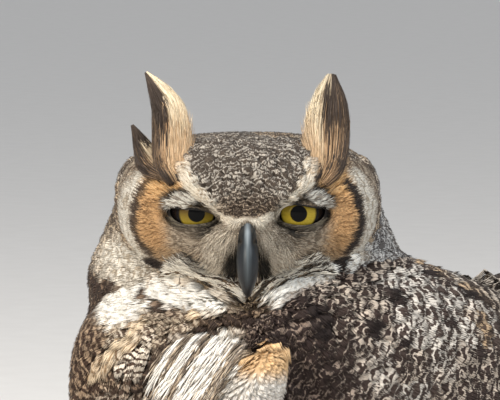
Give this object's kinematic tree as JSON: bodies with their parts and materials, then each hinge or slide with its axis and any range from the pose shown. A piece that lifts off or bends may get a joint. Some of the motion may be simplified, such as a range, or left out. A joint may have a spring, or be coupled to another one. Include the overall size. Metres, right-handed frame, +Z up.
{
  "type": "great horned owl model",
  "caption": "Life-size still model of a horned owl lying on its belly, wings folded, head turned over its left shoulder.",
  "frame": {"origin": "on the floor under the middle of the belly, on the flat that the bird lies on", "axes": "+Z up, -Y the way the breast points, +Y towards the tail, +X the bird's left side"},
  "size_m": [0.1968, 0.4973, 0.247],
  "materials": {
    "plumage_brown": "soft feathers, dark brown barred with grey and buff",
    "plumage_pale": "soft feathers, greyish white with fine brown bars",
    "plumage_tawny": "soft feathers, tawny and cream edged with black",
    "flight_feather": "stiff barred feathers, matt",
    "leg_plumage": "short downy feathers, buff",
    "eye": "wet and glossy, yellow iris and black pupil",
    "horn": "dark slate horn, satin"
  },
  "bodies": {
    "root": {"trunk": "plumage_brown", "neck": "plumage_pale", "head": "plumage_brown", "tail": "flight_feather", "wing_left": "plumage_brown", "wing_right": "plumage_brown", "flight_feathers_left": "flight_feather", "flight_feathers_right": "flight_feather", "ear_tuft_left": "plumage_tawny", "ear_tuft_right": "plumage_tawny", "ear_tuft_right_outer": "plumage_tawny", "leg_left": "leg_plumage", "leg_right": "leg_plumage", "foot_left": "leg_plumage", "foot_right": "leg_plumage", "eye_left": "eye", "eye_right": "eye", "bill_upper": "horn", "bill_lower": "horn", "claw_left_1": "horn", "claw_left_2": "horn", "claw_left_3": "horn", "claw_left_4": "horn", "claw_right_1": "horn", "claw_right_2": "horn", "claw_right_3": "horn", "claw_right_4": "horn"}
  },
  "joints": []
}
